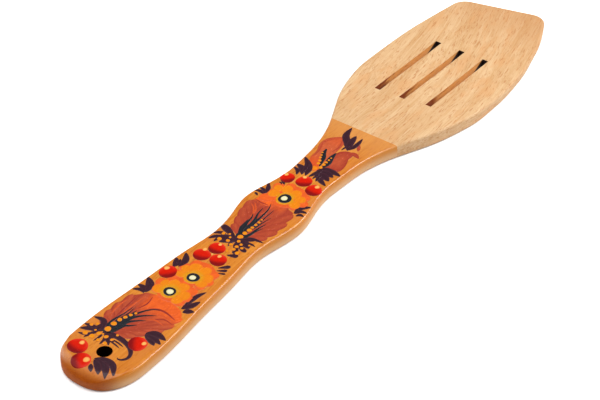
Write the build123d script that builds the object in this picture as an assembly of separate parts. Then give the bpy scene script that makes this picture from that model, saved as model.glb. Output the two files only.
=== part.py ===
from build123d import *
import os
from math import asin, cos, degrees, radians, sin

# A slotted wooden kitchen turner with a painted, lacquered handle.
# Everything is drawn in millimetres with x counted from the end of the handle, y to the left of
# someone who holds it, and z = 0 on the underside. build() moves each piece to the shared frame,
# where the origin is the middle of the underside.

# ---- driving dimensions -------------------------------------------------------------------
THICKNESS = 6.5
TOP_EDGE_R = 1.0
BOTTOM_EDGE_R = 1.1

CAP_LENGTH = 20.0          # rounded end of the handle
CAP_LEFT = (17.4, 2.6)     # half width and power; a circle has power 2, a squarer end has more
CAP_RIGHT = (16.1, 2.2)
NOSE_X = 26.0              # the top is rounded down over the end, along a circle about this place
NOSE_RIM = 21.2            # the rounding starts this far from there
NOSE_R = 5.0

HOLE_X = 15.0
HOLE_R = 3.0

BLADE_HALF_WIDTH = 31.3
LEFT_WIDEST_X = 236.0
RIGHT_WIDEST_X = 238.0
LEFT_CORNER = (295.1, 26.3)
RIGHT_CORNER = (305.6, -13.2)
LEFT_CORNER_R = 8.0
RIGHT_CORNER_R = 7.0
SLOPE_START_X = 193.0      # the top of the blade starts to thin here
SLOPE_MIDDLE = (240.0, 4.6)
TIP_THICKNESS = 2.2

SLOT_WIDTH = 2.8
SLOT_END_X = 259.0
SLOTS = [(213.9, -11.0), (212.0, 1.4), (211.4, 13.8)]    # where each starts, and its middle in y

LACQUER_END_X = 182.5
LACQUER = 0.2
PAINT = 0.12
SMALLEST_PATCH = 0.15      # mm2, the least paint that shows between two marks

# Down the handle: a slim neck, a swelling for the thumb and a second neck, cut a little unevenly
LEFT_HANDLE = [(30, 17.2), (55, 15.1), (80, 12.8), (96, 11.0), (108, 12.6), (119, 14.75), (132, 12.45),
               (143, 10.6), (152, 10.8), (165, 12.15), (178, 15.7), (190, 21.1), (203, 26.6), (216, 29.9)]
RIGHT_HANDLE = [(30, -16.1), (55, -14.0), (80, -12.1), (96, -10.9), (108, -12.8), (119, -14.15),
                (132, -11.6), (143, -9.9), (152, -10.25), (165, -11.45), (178, -15.0), (190, -20.4),
                (203, -26.0), (216, -29.6)]
LEFT_BLADE = [(262, 30.5), (278, 28.6)]
RIGHT_BLADE = [(248, -30.8), (255, -30.0), (265, -28.3), (274, -25.9), (284, -23.1), (292, -19.9)]


# ---- painted decoration -------------------------------------------------------------------
# Every mark is flat colour on the top of the handle. A stroke is (start, end, width, bend): two
# arcs from start to end, bent to the left of its direction. A petal is (base, tip, width), pointed
# at its base and round at its tip. A dot is (x, y, radius).
BERRIES = [(11.5, 10.3, 4.1), (6.3, 4.1, 4.0), (25.4, -7.4, 3.9), (64.3, 9.8, 3.7),
           (80.1, 5.6, 3.6), (86.6, 3.1, 3.5), (81.2, -1.8, 3.6), (138.8, 7.6, 3.2),
           (140.7, 0.5, 3.5), (138.2, -6.2, 3.6)]

# ring, heart and petal tips with their widths
FLOWERS = [
    ((55.6, 1.8, 2.45), (55.6, 1.6, 1.5),
     [((54.0, 9.6), 5.0), ((59.2, 10.4), 5.0), ((64.3, 6.5), 5.4), ((64.6, 0.0), 5.0),
      ((62.0, -7.4), 5.4), ((56.5, -8.6), 5.0), ((51.8, -7.6), 4.6), ((51.0, 4.0), 4.0)]),
    ((67.3, -0.4, 2.5), (67.1, -0.3, 1.4),
     [((65.8, 8.2), 4.6), ((71.5, 8.4), 4.8), ((76.6, 4.8), 5.2), ((77.3, -1.5), 5.0),
      ((74.6, -7.8), 5.2), ((68.6, -9.4), 5.0), ((64.0, -8.0), 4.6)]),
    ((127.1, 0.1, 2.75), (127.1, 0.4, 1.45),
     [((122.0, 9.6), 5.5), ((127.8, 9.0), 4.8), ((133.6, 9.0), 5.2), ((137.0, 3.6), 5.2),
      ((136.3, -3.0), 5.0), ((133.6, -8.2), 5.2), ((128.8, -10.4), 4.8), ((124.2, -8.2), 4.6)]),
]

BIG_LEAVES = {
    "lower": ((24.2, 5.8), [
        ((29.5, 13.1), 4.2), ((34.5, 14.0), 4.8), ((40.0, 13.8), 5.0), ((46.3, 12.6), 5.0),
        ((50.6, 8.0), 5.5), ((51.3, 2.5), 6.0), ((51.0, -3.0), 6.0), ((49.6, -8.5), 5.5),
        ((46.3, -12.6), 5.0), ((41.5, -12.6), 4.6), ((36.8, -11.0), 4.2), ((32.5, -7.5), 4.0),
        ((28.3, -4.3), 4.0), ((25.8, -1.8), 3.5)]),
    "middle": ((97.2, -0.2), [
        ((102.8, 7.5), 4.0), ((108.0, 8.9), 4.4), ((113.6, 10.6), 4.6), ((118.6, 11.3), 4.8),
        ((121.0, 6.5), 5.0), ((124.6, 1.2), 5.4), ((123.8, -4.2), 5.4), ((120.8, -9.2), 5.0),
        ((115.0, -10.5), 4.8), ((108.4, -10.6), 4.6), ((103.0, -9.6), 4.0), ((100.0, -6.5), 3.0)]),
}

FRONDS = {
    "lower": [((23.5, 7.2), (37.0, 6.6), 3.6, 0.6), ((24.0, 6.4), (33.6, -0.4), 2.2, 0.9),
              ((27.0, 5.6), (37.4, -1.6), 1.8, 1.2), ((30.0, 5.5), (41.6, -3.0), 1.6, 1.4),
              ((33.0, 5.4), (45.2, -2.0), 1.3, 1.6), ((26.0, 8.4), (40.4, 7.2), 1.2, 0.5)],
    "middle": [((96.4, 0.0), (107.8, 4.2), 2.8, 0.8), ((99.0, 1.0), (112.2, 4.6), 2.2, 0.1),
               ((102.0, 0.6), (117.4, 3.7), 1.9, -0.3), ((105.0, 0.0), (121.2, 2.7), 1.6, -0.6),
               ((104.0, -0.6), (118.6, -0.9), 1.4, 0.1), ((97.0, -0.6), (110.0, -3.9), 2.6, -0.8)],
}

DARK_LEAVES = {
    "end_leaf": [((10.6, 0.9), (5.0, -12.9), 2.7, 3.1), ((10.5, 0.8), (4.5, -9.3), 3.8, 2.1),
                 ((10.3, 0.8), (4.3, -6.2), 3.8, 1.1), ((8.5, -0.2), (3.9, -3.0), 1.9, 0.3)],
    "end_spray": [((23.0, 8.6), (17.6, 11.4), 2.2, 0.2), ((22.8, 9.0), (19.6, 16.6), 2.4, 0.6),
                  ((23.3, 9.0), (22.4, 16.6), 1.8, 0.4), ((23.5, 8.4), (27.9, 16.3), 1.9, -2.1),
                  ((20.0, 8.5), (26.5, 9.0), 2.4, 0.8), ((23.2, 7.5), (16.9, 7.3), 1.0, 0.2),
                  ((22.8, 6.0), (16.6, 3.6), 1.5, -0.3), ((22.6, 5.5), (18.4, 0.6), 1.6, 0.4)],
    "side_leaf_lower": [((31.5, -6.2), (28.4, -13.4), 3.2, 1.1),
                        ((31.5, -6.4), (30.1, -14.9), 3.0, 0.2),
                        ((31.6, -6.2), (33.0, -15.1), 3.4, 0.4)],
    "flower_leaf_left": [((50.0, 9.2), (57.8, 14.3), 3.2, -0.4), ((49.2, 9.5), (51.8, 14.6), 2.2, 0.1),
                         ((50.5, 10.5), (49.0, 13.9), 1.6, 0.2)],
    "berry_leaf_left": [((68.0, 9.9), (73.3, 12.4), 2.6, -0.2), ((69.3, 8.4), (77.6, 11.2), 2.9, -0.6)],
    "flower_leaf_right": [((50.3, -8.5), (63.3, -10.1), 2.4, 0.5), ((50.5, -8.6), (57.9, -11.7), 2.6, -0.5),
                          ((49.2, -10.2), (52.4, -13.5), 2.4, 0.1)],
    "middle_spray_left": [((93.6, 4.2), (89.5, 9.6), 1.8, -1.2), ((94.6, 5.5), (93.7, 10.4), 1.6, -0.5),
                          ((93.8, 4.6), (89.3, 7.0), 1.2, -0.3), ((95.8, 2.2), (90.2, 0.5), 1.5, 0.2),
                          ((95.4, 1.2), (92.4, 7.0), 3.6, 0.3), ((95.2, 0.6), (99.6, 10.6), 3.4, -0.4)],
    "middle_spray_right": [((96.4, -0.8), (88.6, -2.7), 1.8, 0.2), ((96.2, -1.6), (99.7, -10.0), 1.6, 0.6),
                           ((96.0, -1.4), (91.2, -7.7), 2.4, 0.3), ((96.0, -1.4), (95.9, -8.4), 2.2, -0.3)],
    "crown_leaf_left": [((123.2, 12.8), (122.6, 10.6), 1.1, 0.1), ((125.0, 9.3), (132.1, 11.9), 2.6, -0.6),
                        ((125.2, 9.4), (124.6, 13.7), 1.8, 0.2), ((126.3, 9.4), (127.2, 13.0), 1.6, 0.1)],
    "crown_leaf_right": [((121.8, -8.9), (129.0, -12.0), 1.9, 0.7), ((122.2, -9.0), (124.5, -13.0), 1.8, 0.2),
                         ((121.6, -9.0), (122.2, -13.0), 1.9, 0.1)],
    "berry_leaf_upper": [((137.2, 9.8), (134.2, 5.8), 1.6, -0.4)],
    "tulip_leaf_left": [((144.0, 2.3), (154.5, 10.1), 3.1, -0.6), ((144.5, 4.2), (148.5, 9.9), 3.4, 0.2),
                        ((145.6, 4.6), (145.7, 9.8), 2.0, 0.2), ((150.0, 5.0), (142.8, 5.9), 1.6, 0.1)],
    "tulip_leaf_right": [((147.0, 0.2), (152.0, -9.6), 3.0, 2.6), ((148.0, 0.2), (150.3, -7.4), 3.2, 1.2),
                         ((147.2, 0.3), (146.8, -7.3), 3.2, 0.2), ((148.5, 0.2), (143.2, -8.3), 3.0, -0.6),
                         ((152.0, -2.2), (144.0, 0.7), 2.2, -0.3)],
    "tip_leaf": [((168.0, -1.4), (181.0, 6.2), 2.7, 0.7), ((168.5, -1.6), (178.2, 1.1), 2.2, 0.2),
                 ((168.0, -1.6), (178.2, -2.1), 1.5, -1.0), ((166.8, 0.5), (170.5, -0.6), 0.9, -0.2)],
}

LOOSE_STROKES = [((77.3, -4.7), (80.9, -8.4), 2.1), ((75.8, -5.3), (78.2, -8.9), 1.6),
                 ((74.8, -6.6), (76.2, -9.5), 1.1), ((85.5, -2.6), (87.6, -6.9), 2.5)]

SCROLL_OUTER = [(22.9, 7.0), (24.6, 2.5), (24.7, -1.5), (23.3, -6.0), (20.8, -9.0), (18.0, -10.1),
                (15.6, -9.0), (14.5, -7.4), (15.3, -5.9)]
SCROLL_INNER = [(15.3, -5.9), (15.4, -7.5), (16.6, -8.8), (18.4, -9.1), (20.4, -7.8), (21.9, -5.2),
                (22.5, -1.8), (22.2, 1.6), (21.8, 4.3), (22.9, 7.0)]

TULIP_UPPER = [(150.2, 2.6), (152.4, 6.6), (156.0, 8.4), (160.2, 8.7), (165.2, 10.6), (169.6, 10.2),
               (172.9, 7.4), (174.2, 4.9), (171.6, 2.4), (168.2, 1.6), (162.0, 1.3), (155.0, 1.6)]
TULIP_LOWER = [(152.2, -0.2), (157.5, 0.2), (162.0, 1.0), (165.6, 0.1), (167.6, -3.0), (167.5, -6.6),
               (166.4, -8.4), (165.7, -7.4), (165.2, -5.9), (163.0, -5.8), (160.2, -6.9), (157.0, -7.6),
               (153.8, -7.0), (153.2, -3.4)]
TULIP_SEPAL = (150.4, 2.3, 1.7)
TULIP_HEART = [((152.2, 1.8), (164.2, 6.1), 2.0, 0.2), ((152.0, 0.3), (163.3, 0.9), 2.7, -0.3)]
TULIP_TAIL = ((169.8, -5.8), (174.5, -3.4), 1.2, 0.4)

DOTS = {
    "end_dots": [(18.7, 12.8, 1.1), (23.6, 13.9, 0.75), (25.2, 12.3, 0.7), (18.7, 9.5, 1.2),
                 (21.4, 8.3, 1.05), (18.4, 6.1, 0.85), (21.5, 4.8, 0.95), (18.4, 2.8, 0.95),
                 (21.5, 1.9, 0.75)],
    "lower_leaf_dots": [(25.3, 7.2, 1.4), (28.9, 7.3, 1.2), (31.9, 6.9, 1.0), (34.2, 6.1, 0.85),
                        (36.4, 5.2, 0.75), (38.2, 4.2, 0.6)],
    "middle_spray_dots_left": [(91.8, 6.0, 0.95), (95.3, 6.7, 0.8), (96.4, 4.4, 0.55), (94.9, 3.0, 0.55),
                               (92.8, 2.5, 0.85), (91.6, 0.0, 0.8)],
    "middle_spray_dots_right": [(94.9, -1.3, 0.8), (91.8, -2.7, 0.85), (89.8, -2.8, 0.8),
                                (93.8, -3.4, 0.7), (92.2, -5.0, 0.7), (88.8, -5.3, 1.0),
                                (95.2, -6.4, 0.5)],
    "middle_leaf_dots": [(97.5, -0.1, 1.25), (100.3, -0.2, 1.05), (102.8, -0.5, 1.05), (104.8, -0.5, 0.75),
                         (106.9, -0.6, 0.7), (108.9, -0.7, 0.65), (110.8, -0.6, 0.45)],
    "tulip_dots": [(153.8, 2.9, 0.8), (155.7, 3.6, 0.75), (157.5, 4.6, 0.6), (159.1, 5.2, 0.5),
                   (160.7, 5.9, 0.45), (152.1, 0.5, 0.9), (154.3, 0.5, 0.8), (156.2, 0.6, 0.65),
                   (158.0, 0.6, 0.5), (159.7, 0.6, 0.4)],
}


# ---- wood and lacquer ---------------------------------------------------------------------
def cap_point(angle, inset):
    """A point on the squarish rounded end of the handle, from -90 on the right to 90 degrees."""
    half_width, power = CAP_LEFT if angle > 0 else CAP_RIGHT
    along = abs(cos(radians(angle))) ** (2 / power)
    across = abs(sin(radians(angle))) ** (2 / power)
    side = 1 if angle > 0 else -1
    return CAP_LENGTH - (CAP_LENGTH - inset) * along, side * (half_width - inset) * across


def outline(inset=0):
    """The whole turner seen from above, with sharp corners at the tip and its sides moved inwards."""
    cap = [cap_point(a, inset) for a in (-90, -75, -60, -45, -22, 0, 22, 45, 60, 75, 90)]
    left = [(CAP_LENGTH, CAP_LEFT[0])] + LEFT_HANDLE + [(LEFT_WIDEST_X, BLADE_HALF_WIDTH)]
    right = [(CAP_LENGTH, -CAP_RIGHT[0])] + RIGHT_HANDLE + [(RIGHT_WIDEST_X, -BLADE_HALF_WIDTH)]
    left = [(x, y - inset) for x, y in left]
    right = [(x, y + inset) for x, y in right]
    edges = [
        Spline(*cap, tangents=[(-1, 0), (1, 0)]),
        Spline(*left, tangents=[(1, 0), (1, 0)]),
        Spline(*right, tangents=[(1, 0), (1, 0)]),
        Spline(left[-1], *LEFT_BLADE, LEFT_CORNER, tangents=[(1, 0), (1, -0.12)]),
        Spline(right[-1], *RIGHT_BLADE, RIGHT_CORNER, tangents=[(1, 0), (1, 0.5)]),
        Line(LEFT_CORNER, RIGHT_CORNER),
    ]
    return make_face(edges)


def above_blade():
    """The wood planed off above the blade, which thins towards its tip."""
    end = (330.0, TIP_THICKNESS - 0.9)
    slope = Spline((SLOPE_START_X, THICKNESS), SLOPE_MIDDLE, (RIGHT_CORNER[0], TIP_THICKNESS), end,
                   tangents=[(1, 0), (1, -0.037)])
    rim = Polyline(end, (330.0, 20.0), (SLOPE_START_X, 20.0), (SLOPE_START_X, THICKNESS))
    profile = make_face(Plane.XZ * (slope + rim))
    return Pos(0, 60, 0) * extrude(profile, 120)


def above_nose(inset):
    """The wood rounded off above the end of the handle: half a ring about NOSE_X."""
    radius = NOSE_R - inset
    top = (-NOSE_RIM, THICKNESS - inset)
    front = (-NOSE_RIM - radius, THICKNESS - NOSE_R)
    arc = RadiusArc(front, top, radius)
    rim = Polyline(top, (-NOSE_RIM, 20.0), (-60.0, 20.0), (-60.0, front[1]), front)
    profile = make_face(Plane.XZ * (arc + rim))
    return Pos(NOSE_X, 0, 0) * Rot(0, 0, -90) * revolve(profile, Axis.Z, 180)


def rounded_plank(inset):
    """The turner without its slots and hole, with its top, bottom and sides moved inwards."""
    body = Pos(0, 0, inset) * extrude(outline(inset), THICKNESS - 2 * inset)
    for corner, radius in ((LEFT_CORNER, LEFT_CORNER_R), (RIGHT_CORNER, RIGHT_CORNER_R)):
        upright = body.edges().filter_by(Axis.Z).sort_by_distance((*corner, THICKNESS / 2))[0]
        body = fillet(upright, radius)
    body -= Pos(0, 0, -inset) * above_blade()
    body -= above_nose(inset)
    underside = body.faces().sort_by(Axis.Z)[0]
    body = fillet(underside.edges(), BOTTOM_EDGE_R - inset)
    rim = [e for e in body.edges() if e.bounding_box().min.Z > BOTTOM_EDGE_R + 0.5
           and e.geom_type not in (GeomType.LINE, GeomType.CIRCLE)]
    return fillet(rim, TOP_EDGE_R - inset)


def handle_region():
    """Everything on the handle's side of the edge of the lacquer."""
    return Pos(LACQUER_END_X - 250, 0, 0) * Box(500, 200, 100)


def hole(radius):
    return Pos(HOLE_X, 0, 0) * Cylinder(radius, 50)


def slots():
    """Three square-ended slots through the blade, along the grain."""
    return [Pos((start + SLOT_END_X) / 2, y, 0) * Box(SLOT_END_X - start, SLOT_WIDTH, 50)
            for start, y in SLOTS]


def wood_and_lacquer():
    """The one piece of beech, the film of tinted lacquer that wraps its handle, and both as one."""
    outer = rounded_plank(0)
    core = (rounded_plank(LACQUER) & handle_region()) - hole(HOLE_R + LACQUER)
    lacquer = (outer & handle_region()) - core - hole(HOLE_R)
    blade = outer - handle_region() - slots()
    beech = blade + core
    return beech, lacquer, outer


# ---- paint --------------------------------------------------------------------------------
def stroke(start, end, width, bend):
    """A brush stroke pointed at both ends."""
    a = Vector(*start)
    b = Vector(*end)
    middle = (a + b) / 2
    across = (b - a).normalized().rotate(Axis.Z, 90)
    left = ThreePointArc(a, middle + across * (bend + width / 2), b)
    right = ThreePointArc(b, middle + across * (bend - width / 2), a)
    return make_face([left, right])


def petal(base, tip, width):
    """A brush mark pointed at its base and round at its tip."""
    a = Vector(*base)
    along = (Vector(*tip) - a).normalized()
    reach = (Vector(*tip) - a).length - width / 2
    lean = degrees(asin(width / 2 / reach))
    side = (reach ** 2 - (width / 2) ** 2) ** 0.5
    left = a + along.rotate(Axis.Z, lean) * side
    right = a + along.rotate(Axis.Z, -lean) * side
    point = make_face(Polyline(a, left, right, close=True))
    return point + Pos(a + along * reach) * Circle(width / 2)


def dot(x, y, radius):
    return Pos(x, y) * Circle(radius)


def together(shapes):
    """One flat shape from overlapping ones."""
    whole = shapes[0]
    for shape in shapes[1:]:
        whole = whole + shape
    return whole


def marks():
    """Every painted mark as (name, flat shape), from the last one painted to the first."""
    for name, dots in DOTS.items():
        yield name, together([dot(*d) for d in dots])
    for n, (ring, heart, _) in enumerate(FLOWERS, 1):
        yield f"flower_heart_{n}", dot(*heart)
        yield f"flower_ring_{n}", dot(*ring)
    yield "tulip_heart", together([stroke(*s) for s in TULIP_HEART])
    for name, strokes in FRONDS.items():
        yield f"{name}_leaf_fronds", together([stroke(*s) for s in strokes])
    for n, berry in enumerate(BERRIES, 1):
        yield f"berry_{n:02d}", dot(*berry)
    yield "scroll", make_face([Spline(*SCROLL_OUTER), Spline(*SCROLL_INNER)])
    yield "loose_strokes", together([petal(*p) for p in LOOSE_STROKES])
    for name, strokes in DARK_LEAVES.items():
        yield name, together([stroke(*s) for s in strokes])
    for n, (ring, _, tips) in enumerate(FLOWERS, 1):
        yield f"flower_petals_{n}", together([petal(ring[:2], *t) for t in tips])
    yield "tulip_sepal", dot(*TULIP_SEPAL)
    yield "tulip_petal_upper", make_face(Spline(*TULIP_UPPER, periodic=True))
    yield "tulip_petal_lower", make_face(Spline(*TULIP_LOWER, periodic=True))
    yield "tulip_tail", stroke(*TULIP_TAIL)
    for name, (base, tips) in BIG_LEAVES.items():
        yield f"{name}_leaf", together([petal(base, *t) for t in tips])


def boxes_meet(a, b):
    """Whether two flat shapes could overlap."""
    p = a.bounding_box()
    q = b.bounding_box()
    along = p.min.X < q.max.X and q.min.X < p.max.X
    return along and p.min.Y < q.max.Y and q.min.Y < p.max.Y


def film(shape, turner):
    """A flat shape as a film of paint on top of the handle, which follows its rounded end."""
    if shape.bounding_box().min.X > NOSE_X - NOSE_RIM * cos(radians(50)):
        return Pos(0, 0, THICKNESS) * extrude(shape, PAINT)
    block = Pos(0, 0, THICKNESS - 4) * extrude(shape, 6)
    return (block & (Pos(0, 0, PAINT) * turner)) - turner


def paint_films(turner):
    """Each mark as a film on the handle, cut back under the marks painted over it."""
    canvas = outline(TOP_EDGE_R + 0.05) - dot(HOLE_X, 0, HOLE_R + LACQUER)
    above = []
    films = {}
    for name, mark in marks():
        seen = mark & canvas
        for other in above:
            if boxes_meet(seen, other):
                seen = seen - other
        above.append(mark)
        patches = [f for f in seen.faces() if f.area > SMALLEST_PATCH]
        films[name] = film(together(patches), turner)
    return films


# ---- all the pieces -----------------------------------------------------------------------
def build():
    beech, lacquer, turner = wood_and_lacquer()
    pieces = {"beech_body": beech, "lacquer_coat": lacquer, **paint_films(turner)}
    middle = turner.bounding_box().center()
    return {name: Pos(-middle.X, -middle.Y, 0) * piece for name, piece in pieces.items()}


os.makedirs("parts", exist_ok=True)
for node, piece in build().items():
    export_step(piece, f"parts/{node}.step")
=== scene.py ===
from math import cos, hypot, pi, radians, sin

import bpy
from mathutils import Matrix, Vector
from mathutils.bvhtree import BVHTree


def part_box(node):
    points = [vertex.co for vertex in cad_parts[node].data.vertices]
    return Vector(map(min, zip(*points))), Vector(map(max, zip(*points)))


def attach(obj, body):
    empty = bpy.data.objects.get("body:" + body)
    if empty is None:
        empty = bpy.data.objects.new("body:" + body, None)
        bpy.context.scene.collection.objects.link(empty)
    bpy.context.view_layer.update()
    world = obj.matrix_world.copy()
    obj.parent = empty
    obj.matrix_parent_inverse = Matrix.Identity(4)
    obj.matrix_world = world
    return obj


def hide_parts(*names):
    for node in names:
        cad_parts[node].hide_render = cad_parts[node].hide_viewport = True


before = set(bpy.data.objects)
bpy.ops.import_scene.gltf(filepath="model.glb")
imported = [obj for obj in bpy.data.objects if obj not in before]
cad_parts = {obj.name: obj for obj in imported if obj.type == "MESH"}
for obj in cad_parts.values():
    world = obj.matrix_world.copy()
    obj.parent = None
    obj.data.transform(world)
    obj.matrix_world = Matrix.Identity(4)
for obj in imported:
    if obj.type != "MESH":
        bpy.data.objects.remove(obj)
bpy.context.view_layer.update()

# A slotted wooden turner with a painted handle. The wood and its lacquer keep their CAD meshes.
# Each painted mark is a mesh of brush strokes on the lacquer, which stands for its CAD node.

# ---- places, from the frame -----------------------------------------------------------------
# The painting is laid out in millimetres: s along the handle from its end, y to the left.
MM = 0.001
HANDLE_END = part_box("lacquer_coat")[0][0]
LACQUER_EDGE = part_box("lacquer_coat")[1][0]
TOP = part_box("lacquer_coat")[1][2]
START = HANDLE_END / MM                        # X of the handle's end, in millimetres
HOLE_S, HOLE_R = 15.0, 3.0
SLOTS_Y = (-11.0, 1.4, 13.8)                   # middles of the three slots
SLOTS_S = (211.0, 259.5)                       # just past their two ends
SLOT_HALF_WIDTH = 1.4
GRAIN_TURNS_S = 200.0                          # from here the blade's grain slants

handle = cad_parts["lacquer_coat"].data
HANDLE_SURFACE = BVHTree.FromPolygons([v.co for v in handle.vertices],
                                      [f.vertices[:] for f in handle.polygons])
RAY_START = 0.01                               # metres above the handle's top
EDGE_DROP = 0.0015                             # metres below the top: the side wall begins here

# ---- camera ---------------------------------------------------------------------------------
AZIMUTH, ELEVATION, ROLL = -52.11, 38.63, -1.67
DISTANCE = 0.903
TARGET = Vector((-0.01589, -0.00051, 0.00016))
LENS = 132.0

# ---- film thicknesses, in millimetres -------------------------------------------------------
FILM = 0.012              # one brush mark
STEP = 0.002              # each mark lies this much above the one before it
RIM = 0.002               # a mark's rim lies this much above the lacquer
# where each layer of marks starts, above the lacquer
GROUND, BLOSSOM, DARK, ROUND, HEART, DOT = 0.004, 0.062, 0.070, 0.114, 0.128, 0.132
STREAK_SHIFT = 3.7        # sets the streaks of one mark apart from the next one's

LIGHT_LEVEL = 2.0         # what a flat white face shows under the lights


def paint(r, g, b):
    """The surface's own linear colour, for one seen as r, g, b under these lights. 255 is white."""
    linear = [c / 255 / 12.92 if c < 10.3 else ((c / 255 + 0.055) / 1.055) ** 2.4 for c in (r, g, b)]
    return tuple(c / LIGHT_LEVEL for c in linear) + (1.0,)


AUBERGINE = paint(58, 26, 40)
AUBERGINE_LIGHT = paint(88, 42, 54)
TEAL_BLACK = paint(30, 32, 40)
TEAL_LIGHT = paint(52, 58, 62)
CRIMSON = paint(134, 18, 20)
RED = paint(224, 30, 6)
RED_LIGHT = paint(240, 66, 44)
GLINT = paint(255, 190, 104)
BRICK_DARK = paint(160, 48, 36)
BRICK = paint(184, 70, 44)
BRICK_LIGHT = paint(212, 98, 56)
ORANGE_DEEP = paint(226, 88, 34)
ORANGE_RED = paint(248, 104, 34)
YELLOW_ORANGE = paint(247, 140, 10)
YELLOW = paint(246, 152, 6)
YELLOW_GREEN = paint(228, 158, 14)
CREAM = paint(248, 244, 204)
CREAM_EDGE = paint(226, 222, 150)


def mix(a, b, t):
    t = min(1.0, max(0.0, t))
    return tuple(p + (q - p) * t for p, q in zip(a, b))


def smooth(low, high, value):
    t = min(1.0, max(0.0, (value - low) / (high - low)))
    return t * t * (3 - 2 * t)


# ---- brush marks as meshes ------------------------------------------------------------------
def catmull_rom(a, b, c, d, t):
    """The point at t, from 0 to 1, between b and c."""
    return tuple(0.5 * (2 * q + (r - p) * t + (2 * p - 5 * q + 4 * r - s) * t * t
                        + (3 * q - p - 3 * r + s) * t ** 3) for p, q, r, s in zip(a, b, c, d))


def curve_through(points, steps, closed=False):
    """Points on a smooth curve through the given ones."""
    count = len(points)
    if closed:
        ends = [points[-1], *points, points[0], points[1]]
        spans = count
    else:
        first = tuple(2 * a - b for a, b in zip(points[0], points[1]))
        last = tuple(2 * a - b for a, b in zip(points[-1], points[-2]))
        ends = [first, *points, last]
        spans = count - 1
    path = []
    for i in range(steps + (0 if closed else 1)):
        f = i / steps * spans
        k = min(int(f), spans - 1)
        path.append(catmull_rom(*ends[k:k + 4], f - k))
    return path


def on_handle(s, y):
    """The point of the handle's top that lies at s and y, or the nearest one past its edge."""
    above = Vector((HANDLE_END + s * MM, y * MM, TOP + RAY_START))
    hit = HANDLE_SURFACE.ray_cast(above, Vector((0, 0, -1)))[0]
    if hit is None or hit.z < TOP - EDGE_DROP:
        above.z = TOP
        hit = HANDLE_SURFACE.find_nearest(above)[0]
    return hit


# The shapes give a mark's half-width, as a part of its greatest one, at t from 0 to 1 along it.
def pointed(t):
    return sin(pi * t) ** 0.75 if 0 < t < 1 else 0.0


def petal_shape(t):
    if t < 0.7:
        return 0.10 + 0.90 * (t / 0.7) ** 0.8
    return max(0.0, 1 - ((t - 0.7) / 0.3) ** 2) ** 0.5


def tail(t):
    """Fat near its start and drawn out to a long point."""
    return min(1.0, 7 * t) ** 0.6 * (1 - t) ** 0.7


def comma(t):
    """Blunt at its start, fattest past a third and pointed at its end."""
    return min(1.0, 5 * t) ** 0.5 * (1 - t ** 2) ** 0.8


# places across a stroke, and outwards from a patch's middle, with the film's thickness at each
ACROSS = [(-1.0, 0), (-0.96, 0.7), (-0.8, 1), (-0.4, 1), (0.0, 1), (0.4, 1), (0.8, 1), (0.96, 0.7), (1.0, 0)]
OUTWARDS = [(0.3, 1), (0.55, 1), (0.75, 1), (0.88, 1), (0.96, 0.7), (1.0, 0)]


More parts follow.
